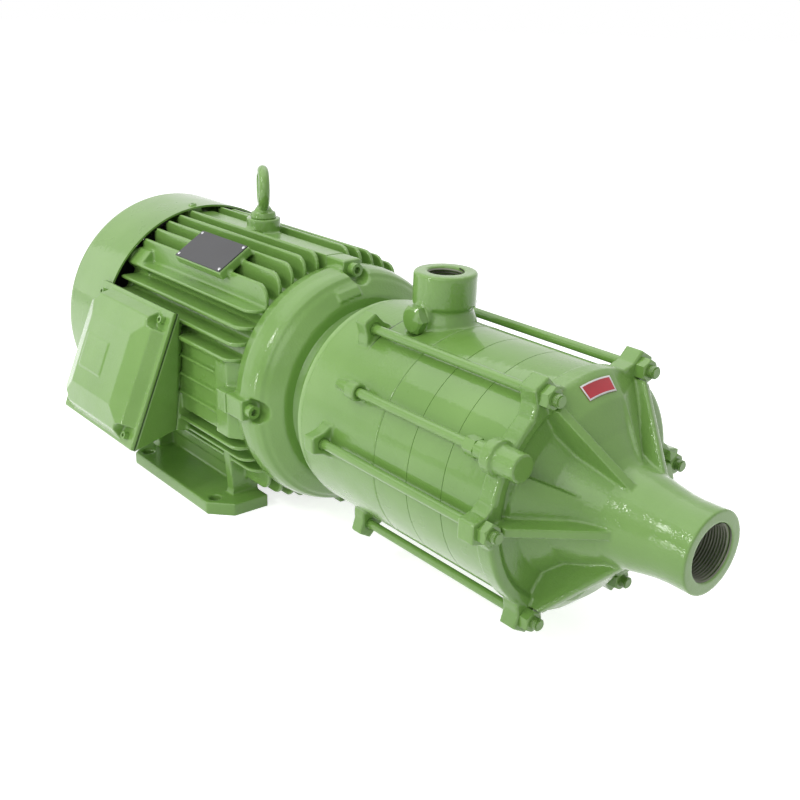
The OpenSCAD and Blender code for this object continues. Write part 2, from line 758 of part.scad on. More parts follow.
module fan_cover() {
  vent_r = 84;
  color(paint) difference() {
    turned() polygon(concat([[cover_r - cover_t, cover_front], [cover_r, cover_front]],
      bend(cover_r, cover_back_x + cover_round, cover_r - cover_round, cover_back_x),
      [[0, cover_back_x], [0, cover_back_x + cover_t], [cover_r - cover_round, cover_back_x + cover_t]],
      [for (i = [1:9]) let (a = 10 * i) [cover_r - cover_round + (cover_round - cover_t) * sin(a),
        cover_back_x + cover_round - (cover_round - cover_t) * cos(a)]]));
    // Air slots between the ribs of the grille
    for (x = [-6:6]) let (h = sqrt(vent_r * vent_r - pow(abs(x) * 13 + 4, 2)))
      for (s = [-1, 1]) on_shaft() translate([cover_back_x - 1, x * 13 - 4, s > 0 ? 4 : -h])
        cube([cover_t + 2, 8, h - 4]);
    for (a = cover_screw_a) on_shaft(a) translate([frame_back - 5, cover_r - 10, 0])
      rotate([-90, 0, 0]) cylinder(h = 14, d = 5);
  }
}

module fan_cover_screws() {
  color(paint) for (a = cover_screw_a) on_shaft(a) translate([frame_back - 5, cover_r, 0])
    rotate([-90, 0, 0]) {
      translate([0, 0, -cover_screw_l]) cylinder(h = cover_screw_l, d = 5);
      difference() {
        cylinder(h = cover_head_h, r1 = 4.8, r2 = 3.8);
        translate([0, 0, cover_head_h / 2]) cylinder(h = 2, r = 2, $fn = 6);
      }
    }
}

// The box widens from its seat to its rim; the inset makes the hollow
module box_shape(inset, back) {
  slip = inset * tan(seat_tilt);
  hull() {
    on_shaft() along_x(seat_back + inset, seat_front - inset)
      polygon([pad_top + [-back - slip, -inset], pad_low + [-back + slip, inset],
        pad_low + [-back + slip - 1, inset], pad_top + [-back - slip - 1, -inset]]);
    on_lid() translate([-box_w / 2 + inset, -lid_h / 2 + inset, -1])
      cube([box_w - 2 * inset, lid_h - 2 * inset, inset > 0 ? 2 : 1]);
  }
}

module terminal_box() {
  color(paint) difference() {
    union() {
      difference() {
        box_shape(0, 0);
        box_shape(box_wall, box_wall);
      }
      // Corner posts that take the lid screws, and the boss of the cable entry
      intersection() {
        box_shape(0, 0);
        union() {
          on_lid() for (p = lid_screw_places()) translate([p[0], p[1], -22]) cylinder(h = 22, r = 9);
          translate([entry_x, entry_y, shaft_h + entry_low - 4])
            cylinder(h = 2 * entry_boss_l, r = entry_boss_r);
        }
      }
      translate([entry_x, entry_y, shaft_h + entry_low - 4]) cylinder(h = entry_boss_l, r = entry_boss_r);
    }
    translate([entry_x, entry_y, shaft_h + entry_low - 5]) cylinder(h = 50, r = entry_r);
    for (x = box_screw_x()) for (z = box_screw_z()) on_seat(x, z) translate([0, 2, 0])
      rotate([90, 0, 0]) cylinder(h = 12, d = 5);
    for (p = lid_screw_places()) on_lid() translate([p[0], p[1], -18]) cylinder(h = 19, d = 5);
    // Room for the fan cover behind the back wall
    on_shaft() bar(cover_back_x, cover_front + 0.5, cover_r + cover_relief);
  }
}
function lid_screw_places() = [for (x = [-1, 1]) for (y = [-1, 1])
  [x * (box_w / 2 - lid_screw_in[0]), y * (lid_h / 2 - lid_screw_in[1])]];

module box_gasket() {
  edge = 7;
  color(rubber) on_lid() difference() {
    translate([-box_w / 2, -lid_h / 2, 0]) cube([box_w, lid_h, gasket_t]);
    difference() {
      translate([-box_w / 2 + edge, -lid_h / 2 + edge, -1])
        cube([box_w - 2 * edge, lid_h - 2 * edge, gasket_t + 2]);
      for (p = lid_screw_places()) translate([p[0], p[1], -1]) cylinder(h = gasket_t + 2, r = 8);
    }
    for (p = lid_screw_places()) translate([p[0], p[1], -1]) cylinder(h = gasket_t + 2, d = 5);
  }
}

// The lid's domed middle: three levels, each further in than the one below
module lid_dome(inset, drop) {
  hull() {
    for (level = [[4, 0], [12, 11], [34, lid_rise]])
      translate([-box_w / 2 + level[0] + inset, -lid_h / 2 + level[0] + inset, lid_t + level[1] - drop - 1])
        cube([box_w - 2 * (level[0] + inset), lid_h - 2 * (level[0] + inset), 1]);
  }
}

module terminal_box_lid() {
  wall = 4;
  pad_l = 46;
  pad_w = 34;
  color(paint) on_lid() translate([0, 0, gasket_t]) difference() {
    union() {
      translate([-box_w / 2, -lid_h / 2, 0]) cube([box_w, lid_h, lid_t]);
      lid_dome(0, 0);
      translate([-pad_l / 2 - 14, -pad_w / 2, lid_t + lid_rise - 2]) cube([pad_l, pad_w, 3]);
    }
    difference() {
      lid_dome(wall, wall);
      for (p = lid_screw_places()) translate([p[0], p[1], -1])
        cylinder(h = lid_t + lid_rise, r = recess_screw_r + wall);
    }
    translate([-box_w / 2 + 22, -lid_h / 2 + 10, -1]) cube([box_w - 44, lid_h - 20, lid_t]);
    translate([-box_w / 2 + 10, -lid_h / 2 + 22, -1]) cube([box_w - 20, lid_h - 44, lid_t]);
    for (p = lid_screw_places()) translate([p[0], p[1], -1]) {
      cylinder(h = lid_t + lid_rise + 2, d = 5);
      translate([0, 0, lid_t + 1]) cylinder(h = lid_rise + 6, r = recess_screw_r);
      translate([p[0] > 0 ? 0 : -20, p[1] > 0 ? -recess_screw_r : -20, lid_t + 1])
        cube([20, 20 + recess_screw_r, lid_rise]);
      translate([p[0] > 0 ? -recess_screw_r : -20, p[1] > 0 ? 0 : -20, lid_t + 1])
        cube([20 + recess_screw_r, 20, lid_rise]);
    }
  }
}

module lid_screws() {
  color(paint) on_lid() for (p = lid_screw_places())
    translate([p[0], p[1], gasket_t + lid_t]) rotate([0, -90, 0]) socket_screw(5, lid_screw_l);
}

module box_screws() {
  color(dark_steel) for (x = box_screw_x()) for (z = box_screw_z()) on_seat(x, z)
    translate([0, -box_wall, 0]) rotate([0, 0, -90]) socket_screw(5, 10);
}

// The block stands on the box's back wall, and its studs pass through it
block_size = [60, 15, 44];
function stud_places() = [for (x = [-18, 0, 18]) for (z = [-11, 11]) [x, z]];
module on_back_wall() { on_seat(box_x + 4, -20) translate([0, -box_wall, 0]) children(); }
module terminal_block() {
  color(plastic) on_back_wall() difference() {
    translate([-block_size[0] / 2, -block_size[1], -block_size[2] / 2]) cube(block_size);
    for (p = stud_places()) translate([p[0], 1, p[1]]) rotate([90, 0, 0])
      cylinder(h = block_size[1] + 2, d = 5);
  }
}
module terminal_studs() {
  color(bronze) on_back_wall() for (p = stud_places()) translate([p[0], 0, p[1]]) rotate([90, 0, 0]) {
    cylinder(h = block_size[1] + 9, d = 5);
    translate([0, 0, block_size[1]]) cylinder(h = 4, r = across(8), $fn = 6);
  }
}

module eye_bolt() {
  eye_z = eye_boss_top + 29;
  eye_turn = -29;
  color(paint) on_shaft() {
    translate([0, 0, eye_boss_top - 18]) cylinder(h = 18, d = eye_bolt_d);
    translate([0, 0, eye_boss_top]) cylinder(h = 6, r1 = 13, r2 = 12);
    translate([0, 0, eye_boss_top + 6]) cylinder(h = 6, r1 = 10, r2 = 6);
    translate([0, 0, eye_z]) rotate([90, 0, eye_turn]) rotate_extrude() translate([17, 0]) circle(r = 5.5);
  }
}

module pump_bracket() {
  f = shield_face;
  c = casing_back;
  color(paint) difference() {
    turned() polygon([[seal_shaft_r + 1, f - 6], [register_r, f - 6], [register_r, f],
      [bracket_neck_r + 4, f], [bracket_neck_r, f + 4], [bracket_neck_r, c - 17],
      [bracket_r - 3, c - 9], [bracket_r, c - 6.5], [bracket_r, c - rim_gap], [bracket_r - 3, c - rim_gap],
      [bracket_r - 3, c], [bracket_spigot_r, c],
      [bracket_spigot_r, c + bracket_spigot_l], [seal_bore_r, c + bracket_spigot_l],
      [seal_bore_r, c - 5], [seal_shaft_r + 1, c - 5]]);
    for (a = [45, 135, 225, 315]) on_shaft(a) translate([0, bracket_screw_r, 0]) {
      bar(f - 7, c + 10, bracket_screw_d / 2);
      bar(c - 5, c + 10, bracket_screw_d * 0.8);
    }
    // Drain window under the slinger
    on_shaft() translate([f + 4, 0, -bracket_neck_r - 5]) cylinder(h = bracket_neck_r - 10, r = 6);
  }
}
module bracket_screws() {
  color(dark_steel) for (a = [45, 135, 225, 315]) on_shaft(a)
    translate([casing_back - 5, bracket_screw_r, 0]) socket_screw(bracket_screw_d, bracket_l + 9);
}

// One lug for a tie rod, standing on a casing at an angle
module lug(a, x0, x1, half, foot) {
  on_shaft(a) along_x(x0, x1) polygon([[barrel_bore_r + 4, -foot - 1], [barrel_r + 2, -foot],
    [rod_circle_r, -half - 3], [lug_r, -half], [lug_r, half], [rod_circle_r, half + 3],
    [barrel_r + 2, foot], [barrel_bore_r + 4, foot + 1]]);
}

module discharge_casing() {
  b = casing_back;
  base = barrel_r + 3;
  color(paint) difference() {
    union() {
      turned() polygon([[bracket_spigot_r, b], [barrel_r - 1, b], [barrel_r, b + 1],
        [barrel_r, casing_front], [bracket_spigot_r, casing_front]]);
      for (a = tie_angles) lug(a, lug_front - lug_t, lug_front, lug_half, lug_foot);
      translate([port_x, 0, shaft_h]) {
        translate([0, 0, barrel_r - 14])
          cylinder(h = base - barrel_r + 14, r1 = flare_r, r2 = port_neck_r + 3);
        translate([0, 0, base]) cylinder(h = 7, r1 = port_neck_r + 3, r2 = port_neck_r);
        translate([0, 0, base]) cylinder(h = port_h - collar_h - base, r = port_neck_r);
        translate([0, 0, port_h - collar_h]) cylinder(h = collar_h - 1.5, r = port_r);
        translate([0, 0, port_h - 1.5]) cylinder(h = 1.5, r1 = port_r, r2 = port_r - 1.5);
        translate([0, 0, plug_z]) rotate([90, 0, 0]) cylinder(h = plug_seat, r = across(plug_af));
      }
      on_shaft(pipe_angle) translate([0, rod_circle_r, 0]) {
        bar(pipe_boss_x - 12, pipe_boss_x, pipe_boss_r);
        // The boss runs out into the barrel
        translate([pipe_boss_x - 5, -1, 0]) rotate([0, 0, 14]) rotate([0, -90, 0])
          cylinder(h = 34, r1 = pipe_boss_r - 1, r2 = 4);
      }
    }
    on_shaft() bar(b - 1, b + back_wall, bracket_spigot_r);
    on_shaft() bar(b + back_wall, casing_front - stage_l + stage_wall, chamber_r);
    on_shaft() bar(casing_front - stage_l + stage_wall, casing_front + 1, barrel_bore_r);
    on_shaft() bar(casing_front - spigot_l, casing_front + 1, recess_r);
    for (a = tie_angles) on_shaft(a) translate([0, rod_circle_r, 0])
      bar(lug_front - lug_t - 1, lug_front + 1, rod_thread_d / 2);
    translate([port_x, 0, shaft_h + port_h - discharge_depth])
      cylinder(h = discharge_depth + 1, r = discharge_r);
    translate([port_x, 0, shaft_h + chamber_r - 10]) cylinder(h = port_h - chamber_r, r = discharge_r - 1.5);
    translate([port_x, -10, shaft_h + plug_z]) rotate([90, 0, 0]) cylinder(h = 60, d = plug_thread_d);
    // Spot face round the plug
    translate([port_x, -plug_seat, shaft_h + plug_z]) rotate([90, 0, 0])
      cylinder(h = plug_head + 1, r = across(plug_af) + 0.8);
    on_shaft(pipe_angle) translate([0, rod_circle_r, 0])
      bar(pipe_boss_x - pipe_in, pipe_boss_x + 1, pipe_d / 2);
  }
}

module priming_plug() {
  color(paint) translate([port_x, 0, shaft_h + plug_z]) rotate([90, 0, 0]) {
    translate([0, 0, 15]) cylinder(h = plug_seat - 15, d = plug_thread_d);
    translate([0, 0, plug_seat]) hex_head(plug_af, plug_head, plug_af * 0.42);
  }
}

// A ring of the barrel with its end wall; the impeller of the next stage runs in the wall's hole
module stage_casing(k) {
  f = stage_front(k);
  b = f - stage_l;
  color(paint) difference() {
    turned() polygon([[ring_seat_r, b], [barrel_bore_r, b], [barrel_bore_r, b - spigot_l],
      [barrel_bore_r + spigot_t, b - spigot_l], [barrel_bore_r + spigot_t, b], [barrel_r - 0.4, b],
      [barrel_r, b + 0.6], [barrel_r, f], [recess_r, f], [recess_r, f - spigot_l],
      [barrel_bore_r, f - spigot_l], [barrel_bore_r, b + stage_wall], [ring_seat_r, b + stage_wall]]);
    o_ring_groove(b);
  }
}
module o_ring_groove(x) {
  ring(x - spigot_l + 0.6, x - spigot_l + 0.6 + 2 * ring_section + 0.4,
    barrel_bore_r + spigot_t - 2 * ring_section, barrel_bore_r + spigot_t + 1);
}
module stage_casing_1() { stage_casing(1); }
module stage_casing_2() { stage_casing(2); }
module stage_casing_3() { stage_casing(3); }

module casing_o_rings() {
  color(rubber) for (k = [0:3]) turned()
    translate([barrel_bore_r + spigot_t - ring_section, cover_back - k * stage_l - spigot_l + 0.8 + ring_section])
      circle(r = ring_section);
}

module wear_rings() {
  color(bronze) for (k = [1:4])
    ring(stage_front(k), stage_front(k) + stage_wall, eye_r + run_gap, ring_seat_r);
}

module impeller(k) {
  f = stage_front(k);
  s = f - shroud_in;
  v = s - shroud_t;
  color(water_plastic) difference() {
    union() {
      turned() polygon([[eye_bore_r, f + stage_wall - 1], [eye_r, f + stage_wall - 1], [eye_r, s],
        [impeller_r, s - 1.5], [impeller_r, v], [eye_bore_r + 6, v], [eye_bore_r, s]]);
      turned() polygon([[pump_shaft_r, f - hub_front], [hub_out_r, f - hub_front],
        [hub_out_r + 2, v - vane_w], [impeller_r, v - vane_w], [impeller_r, v - vane_w - shroud_t],
        [hub_out_r, v - vane_w - shroud_t], [hub_out_r, f - hub_back], [pump_shaft_r, f - hub_back]]);
      for (i = [0:vanes - 1]) on_shaft(i * 360 / vanes) along_x(v - vane_w - 0.5, v + 0.5)
        polygon(concat(vane_side(1), vane_side(-1)));
    }
    // The key's way
    on_shaft() translate([f - hub_back - 1, pump_shaft_r - 1, -key_w / 2])
      cube([hub_back, 1 + key_rise, key_w]);
  }
}
// One side of a backward curved vane as [y, z] points, outwards for side 1 and inwards for side -1
function vane_side(side) = [for (i = side > 0 ? [0:vane_steps] : [vane_steps:-1:0])
  let (t = i / vane_steps, r = vane_in_r * pow(vane_out_r / vane_in_r, t),
    a = vane_sweep * t + side * vane_half / r * 180 / PI) [r * cos(a), r * sin(a)]];
module impeller_1() { impeller(1); }
module impeller_2() { impeller(2); }
module impeller_3() { impeller(3); }
module impeller_4() { impeller(4); }

module diffuser(k) {
  f = stage_front(k);
  d = f - disc_in;
  color(water_plastic) {
    ring(d - disc_t, d, hub_out_r + run_gap, disc_r);
    for (i = [0:diffuser_vanes - 1]) intersection() {
      ring(f - stage_l + stage_wall, f - 1, hub_out_r + 4, barrel_bore_r);
      union() {
        on_shaft(i * 360 / diffuser_vanes) translate([d - 1, impeller_r + 2, 0]) rotate([20, 0, 0])
          cube([disc_in, 30, 5]);
        on_shaft(i * 360 / diffuser_vanes + 20) translate([f - stage_l + stage_wall, 30, 0])
          rotate([-18, 0, 0]) cube([stage_l - stage_wall - disc_in - disc_t + 1, 70, 4]);
      }
    }
  }
}
module diffuser_1() { diffuser(1); }
module diffuser_2() { diffuser(2); }
module diffuser_3() { diffuser(3); }
module diffuser_4() { diffuser(4); }

module spacer_sleeves() {
  color(steel) {
    for (k = [2:4]) difference() {
      ring(stage_front(k) - hub_front, stage_front(k - 1) - hub_back, pump_shaft_r, sleeve_r);
      on_shaft() translate([stage_front(k) - hub_front - 1, pump_shaft_r - 1, -key_w / 2])
        cube([stage_l, 1 + key_rise, key_w]);
    }
    ring(sleeve_back(), stage_front(4) - hub_back, pump_shaft_r, sleeve_r);
    ring(sleeve_back(), sleeve_back() + 4, pump_shaft_r, sleeve_r + 5);
  }
}
function sleeve_back() = seal_face + head_l + seal_spring_l + run_gap;

module impeller_nut() {
  f = stage_front(1) - hub_front;
  color(steel) on_shaft() difference() {
    hex_bar(f, f + 13, 36);
    bar(f - 1, f + 14, pump_shaft_r);
  }
}
module impeller_key() {
  color(steel) on_shaft() translate([key_back(), pump_shaft_r - 3, -key_w / 2])
    cube([key_front() - key_back(), 3 + key_rise, key_w]);
}

module seal_seat() { color(dark_steel) ring(seal_face - seat_l, seal_face, seal_shaft_r - 1, seal_bore_r); }
module seal_head() {
  color(steel) ring(seal_face + run_gap, seal_face + run_gap + head_l, pump_shaft_r, pump_shaft_r + 9);
}
// A helical wire between the seal's head and the flange of the last sleeve
module seal_spring() {
  turns = 4;
  steps = 24;
  sides = 8;
  wire = 1.2;
  n = turns * steps;
  coil_r = pump_shaft_r + 5;
  x0 = seal_face + run_gap + head_l + wire;
  rise = seal_spring_l - 2 * wire;
  points = [for (i = [0:n]) for (j = [0:sides - 1])
    let (a = i * 360 / steps, b = j * 360 / sides, r = coil_r + wire * cos(b))
    [x0 + rise * i / n + wire * sin(b), r * cos(a), r * sin(a)]];
  first = [for (j = [0:sides - 1]) j];
  last = [for (j = [sides - 1:-1:0]) n * sides + j];
  walls = [for (i = [0:n - 1]) for (j = [0:sides - 1])
    let (k = (j + 1) % sides, p = i * sides, q = p + sides)
    each [[p + j, q + j, q + k], [p + j, q + k, p + k]]];
  color(steel) on_shaft() polyhedron(points, concat([first, last], walls));
}
module water_slinger() {
  color(rubber) turned() polygon([[seal_shaft_r, shield_face - 15], [seal_shaft_r + 6, shield_face - 15],
    [seal_shaft_r + 14, shield_face - 15 + slinger_l], [seal_shaft_r, shield_face - 15 + slinger_l]]);
}

// The slope that carries the label, and the rest of a bulge's profile, as [station, radius]
slope_top = [rim_front + 1, rim_r - 2];
slope_low = [rim_front + 16, rim_r - 17];
function bulge_high() = [[rim_front - 4, throat_r + 2], [rim_front - 4, rim_r - 2], slope_top, slope_low,
  [rim_front + 27, 60], [rim_front + 38, 45], [rim_front + 46, 38]];
function bulge_low() = [[rim_front - 4, throat_r + 2], [rim_front - 4, rim_r - 3], [rim_front, rim_r - 4],
  [rim_front + 4, rim_r - 29], [rim_front + 12, rim_r - 44], [rim_front + 30, 44]];
// A wedge round the shaft line between two angles
module sector(a0, a1) {
  reach = 250;
  on_shaft() along_x(cover_back - 10, nozzle_face + 10)
    polygon([[0, 0], [reach * cos(a0), reach * sin(a0)], [reach * cos(a1), reach * sin(a1)]]);
}
module swept(points) { turned() polygon([for (p = points) [p[1], p[0]]]); }
// Two high bulges, which fall away on one side, and a lower one over the side rib
module cover_bulges() {
  for (turn = [0, 180]) {
    intersection() {
      swept(bulge_high());
      sector(80 + turn, 119 + turn);
    }
    hull() {
      radial_slab(80.5 + turn, 1) polygon(bulge_high());
      radial_slab(62 + turn, 1) polygon(bulge_low());
    }
  }
  intersection() {
    swept([[rim_front - 4, throat_r + 2], [rim_front - 4, rim_r - 15], [rim_front + 1, rim_r - 17],
      [rim_front + 14, rim_r - 33], [rim_front + 28, 50], [rim_front + 40, 40]]);
    sector(154, 180);
  }
}

// Outside of the suction cover from the rim to the nozzle's mouth
function cover_outline() = [[rim_r, cover_back], [rim_r, rim_front - 2], [rim_r - 1, rim_front - 0.6],
  [rim_r - 3, rim_front], [rim_r - 9, rim_front], [rim_r - 13, rim_front - 4],
  [rim_r - 31, rim_front - 2], [54, rim_front + 12],
  [46, rim_front + 32], [39.5, rim_front + 46], [37.8, rim_front + 56], [36.2, rim_front + 66],
  [34.2, nozzle_start - 10], [nozzle_r + 0.3, nozzle_start], [nozzle_r - 0.3, nozzle_start + 10],
  [nozzle_r, nozzle_face]];

module suction_cover() {
  color(paint) difference() {
    union() {
      turned() polygon(concat([[barrel_bore_r + 0.1, cover_back - spigot_l],
        [barrel_bore_r + spigot_t, cover_back - spigot_l], [barrel_bore_r + spigot_t, cover_back]],
        cover_outline(), [[suction_r, nozzle_face], [suction_r, thread_end], [passage_r, thread_end],
        [passage_r, cover_back + 60], [throat_r, cover_back + 24], [throat_r, cover_back + stage_wall],
        [ring_seat_r, cover_back + stage_wall], [ring_seat_r, cover_back], [barrel_bore_r + 0.1, cover_back]]));
      cover_bulges();
      // Ribs and lugs
      for (a = tie_angles) {
        lug(a, cover_back, rim_front, lug_half + 1, lug_foot + 3);
        radial_slab(a, rib_t) polygon([[rim_front - 4, throat_r + 2], [rim_front - 4, rod_circle_r - nut_af / 2 - 1],
          [rim_front + 10, rod_circle_r - nut_af / 2 - 1], [rim_front + 57, 39], [rim_front + 60, throat_r]]);
      }
      // Boss and passage of the balance pipe
      on_shaft(pipe_angle) translate([0, rod_circle_r - 2, 0]) {
        bar(cover_boss_x, rim_front - 3.5, cover_boss_r);
        bar(cover_boss_x + 4, rim_front + cover_channel_l, cover_channel_r);
      }
    }
    // The passage's own hollow is cut again through everything that was added
    turned() polygon([[0, cover_back - 5], [throat_r, cover_back - 5], [throat_r, cover_back + 24],
      [passage_r, cover_back + 60], [passage_r, thread_end], [suction_r, thread_end],
      [suction_r, nozzle_face + 1], [0, nozzle_face + 1]]);
    o_ring_groove(cover_back);
    for (a = tie_angles) on_shaft(a) translate([0, rod_circle_r, 0])
      bar(cover_back - 1, rim_front + 1, rod_thread_d / 2);
    on_shaft(pipe_angle) translate([0, rod_circle_r, 0]) bar(cover_back - 1, pipe_seat_x, adapter_r);
  }
}

module tie_rods() {
  color(paint) for (a = tie_angles) on_shaft(a) translate([0, rod_circle_r, 0]) {
    bar(lug_front - lug_t, lug_front, rod_thread_d / 2);
    bar(lug_front, cover_back, rod_d / 2);
    bar(cover_back, rim_front + nut_t + 5, rod_thread_d / 2);
    bar(rim_front + nut_t + 5, rim_front + nut_t + 6, rod_thread_d / 2 - 1);
  }
}
module tie_rod_nuts() {
  color(paint) for (a = tie_angles) on_shaft(a) translate([0, rod_circle_r, 0]) difference() {
    translate([rim_front, 0, 0]) rotate([0, 90, 0]) hex_head(nut_af, nut_t, nut_af * 0.46);
    bar(rim_front - 1, rim_front + nut_t + 1, rod_thread_d / 2);
  }
}

module balance_pipe() {
  color(paint) on_shaft(pipe_angle) translate([0, rod_circle_r, 0]) difference() {
    bar(pipe_boss_x - pipe_in, pipe_adapter_x + 2, pipe_d / 2);
    bar(pipe_boss_x - pipe_in - 1, pipe_adapter_x + 3, pipe_d / 2 - 1);
  }
}
module pipe_nuts() {
  color(paint) on_shaft(pipe_angle) translate([0, rod_circle_r, 0]) difference() {
    translate([pipe_nut_x + pipe_nut_l, 0, 0]) rotate([0, -90, 0]) hex_head(14, pipe_nut_l, 6.2);
    bar(pipe_nut_x - 1, pipe_nut_x + pipe_nut_l + 1, pipe_d / 2);
  }
}
module pipe_adapter() {
  color(paint) on_shaft(pipe_angle) translate([0, rod_circle_r, 0]) difference() {
    bar(pipe_nut_x + 11, pipe_seat_x, adapter_r);
    bar(pipe_nut_x + 10, pipe_adapter_x + 2, pipe_d / 2);
    bar(pipe_adapter_x + 1, pipe_seat_x + 1, pipe_d / 2 - 1);
  }
}

// A thin label that lies on the slope of the upper bulge
module label_plate() {
  label_t = 0.4;
  d = label_t / sqrt(2);
  color([0.72, 0.18, 0.20]) intersection() {
    swept([slope_top + [2, -2], slope_low + [-4, 4], slope_low + [-4 + d, 4 + d], slope_top + [2 + d, -2 + d]]);
    sector(84, 103.5);
  }
}

motor_frame();
drive_end_shield();
rear_end_shield();
shield_screws();
stator_core();
stator_winding();
rotor_core();
shaft();
front_bearing_outer();
front_bearing_inner();
front_bearing_balls();
rear_bearing_outer();
rear_bearing_inner();
rear_bearing_balls();
wave_spring();
cooling_fan();
fan_circlip();
fan_cover();
fan_cover_screws();
terminal_box();
terminal_box_lid();
box_gasket();
lid_screws();
box_screws();
terminal_block();
terminal_studs();
eye_bolt();
nameplate();
nameplate_rivets();
pump_bracket();
bracket_screws();
discharge_casing();
priming_plug();
stage_casing_1();
stage_casing_2();
stage_casing_3();
suction_cover();
diffuser_1();
diffuser_2();
diffuser_3();
diffuser_4();
impeller_1();
impeller_2();
impeller_3();
impeller_4();
spacer_sleeves();
impeller_nut();
impeller_key();
wear_rings();
casing_o_rings();
seal_seat();
seal_head();
seal_spring();
water_slinger();
tie_rods();
tie_rod_nuts();
balance_pipe();
pipe_nuts();
pipe_adapter();
label_plate();
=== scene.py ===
import math

import bmesh
import bpy
from mathutils import Matrix, Vector


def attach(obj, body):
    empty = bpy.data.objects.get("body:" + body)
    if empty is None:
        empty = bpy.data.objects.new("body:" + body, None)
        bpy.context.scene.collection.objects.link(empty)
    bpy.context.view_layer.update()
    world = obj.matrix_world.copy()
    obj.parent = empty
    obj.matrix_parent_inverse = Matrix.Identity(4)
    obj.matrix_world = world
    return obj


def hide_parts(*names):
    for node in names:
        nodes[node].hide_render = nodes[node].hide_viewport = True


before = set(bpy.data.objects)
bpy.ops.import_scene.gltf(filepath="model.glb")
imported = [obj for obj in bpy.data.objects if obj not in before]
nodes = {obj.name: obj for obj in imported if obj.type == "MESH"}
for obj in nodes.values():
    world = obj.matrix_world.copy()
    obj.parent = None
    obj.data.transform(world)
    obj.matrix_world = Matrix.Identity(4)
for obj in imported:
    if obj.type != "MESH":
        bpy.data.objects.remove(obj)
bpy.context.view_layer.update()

MM = 0.001
SHAFT_Z = 132 * MM


# Camera

# The view of the photograph, found from the circles of casing, ports and tie rods. The image's
# measures are in pixels, angles in degrees and lengths in metres.
IMAGE_SIDE = 800
FOCAL_PIXELS = 1061.17
CENTRE_PIXEL = (380.57, 438.42)
AZIMUTH, ELEVATION, ROLL = 39.697, 22.937, 1.684
TARGET = Vector((0.216, 0.0, SHAFT_Z))
DISTANCE = 0.97032
ASIDE, DOWN = 0.014282, -0.029091
SENSOR_WIDTH_MM = 36.0
CLIP_START = 0.01


def make_camera():
    azimuth, elevation, roll = (math.radians(angle) for angle in (AZIMUTH, ELEVATION, ROLL))
    level = math.cos(elevation)
    back = Vector((math.cos(azimuth) * level, -math.sin(azimuth) * level, math.sin(elevation)))
    side = (-back).cross(Vector((0, 0, 1))).normalized()
    up = side.cross(-back)
    right = side * math.cos(roll) + up * math.sin(roll)
    top = up * math.cos(roll) - side * math.sin(roll)
    place = TARGET + back * DISTANCE - right * ASIDE + top * DOWN
    data = bpy.data.cameras.new("camera")
    data.sensor_width = SENSOR_WIDTH_MM
    data.lens = FOCAL_PIXELS / IMAGE_SIDE * SENSOR_WIDTH_MM
    data.shift_x = 0.5 - CENTRE_PIXEL[0] / IMAGE_SIDE
    data.shift_y = CENTRE_PIXEL[1] / IMAGE_SIDE - 0.5
    data.clip_start = CLIP_START
    camera = bpy.data.objects.new("camera", data)
    bpy.context.collection.objects.link(camera)
    turn = Matrix((right, top, back)).transposed().to_4x4()
    camera.matrix_world = Matrix.Translation(place) @ turn
    bpy.context.scene.camera = camera


# Lights, floor and background

WHITE = (1, 1, 1)
SKY = (0.95, 0.97, 1.0)
SKY_LIGHT = 0.42
BACKGROUND_GLOW = 1.0
FLOOR_GREY = (0.82, 0.82, 0.82)
FLOOR_GLOW = 0.75
FLOOR_RADIUS = 14.0
FLOOR_SIDES = 96

# Each lamp's place, the point that it is aimed at, its width and height in metres, and its watts
LAMPS = {
    "key": ((0.1, -1.6, 1.6), (0.15, 0, 0.12), (2.6, 1.6), 5),
    "top": ((-0.3, 0.1, 2.1), (0.15, 0, 0.1), (3.0, 2.2), 25),
    "front": ((1.0, -1.3, 1.0), (0.2, 0, 0.13), (1.4, 1.0), 6),
    "glint": ((-0.15, -1.3, 1.15), (0.2, 0, 0.15), (0.28, 0.22), 4.2),
    "low": ((-0.25, -1.5, 0.22), (0.2, 0, 0.12), (0.20, 0.14), 2.0),
    "fill": ((-1.4, -1.2, 0.6), (0, 0, 0.12), (1.4, 0.9), 3),
}


def area_light(name, place, aim, size, watts):
    data = bpy.data.lights.new(name, "AREA")
    data.shape = "RECTANGLE"
    data.size, data.size_y = size
    data.energy = watts
    lamp = bpy.data.objects.new(name, data)
    bpy.context.collection.objects.link(lamp)
    lamp.location = place
    lamp.rotation_euler = (Vector(aim) - Vector(place)).to_track_quat("-Z", "Y").to_euler()


def make_lights():
    for name, settings in LAMPS.items():
        area_light(name, *settings)


def seen_ray(tree):
    """1 on camera, glossy and transmission rays."""
    path = tree.nodes.new("ShaderNodeLightPath")
    value = path.outputs["Is Camera Ray"]
    for name in ("Is Glossy Ray", "Is Transmission Ray"):
        either = tree.nodes.new("ShaderNodeMath")
        either.operation = "MAXIMUM"
        tree.links.new(value, either.inputs[0])
        tree.links.new(path.outputs[name], either.inputs[1])
        value = either.outputs[0]
    return value


def lit_or_seen(tree, lit, seen, out):
    """Gives one shader to the rays that light the object and the other to those that see it."""
    mix = tree.nodes.new("ShaderNodeMixShader")
    tree.links.new(seen_ray(tree), mix.inputs["Fac"])
    tree.links.new(lit, mix.inputs[1])
    tree.links.new(seen, mix.inputs[2])
    tree.links.new(mix.outputs[0], out.inputs["Surface"])


def background(tree, colour, strength):
    node = tree.nodes.new("ShaderNodeBackground")
    node.inputs["Color"].default_value = (*colour, 1)
    node.inputs["Strength"].default_value = strength
    return node.outputs[0]


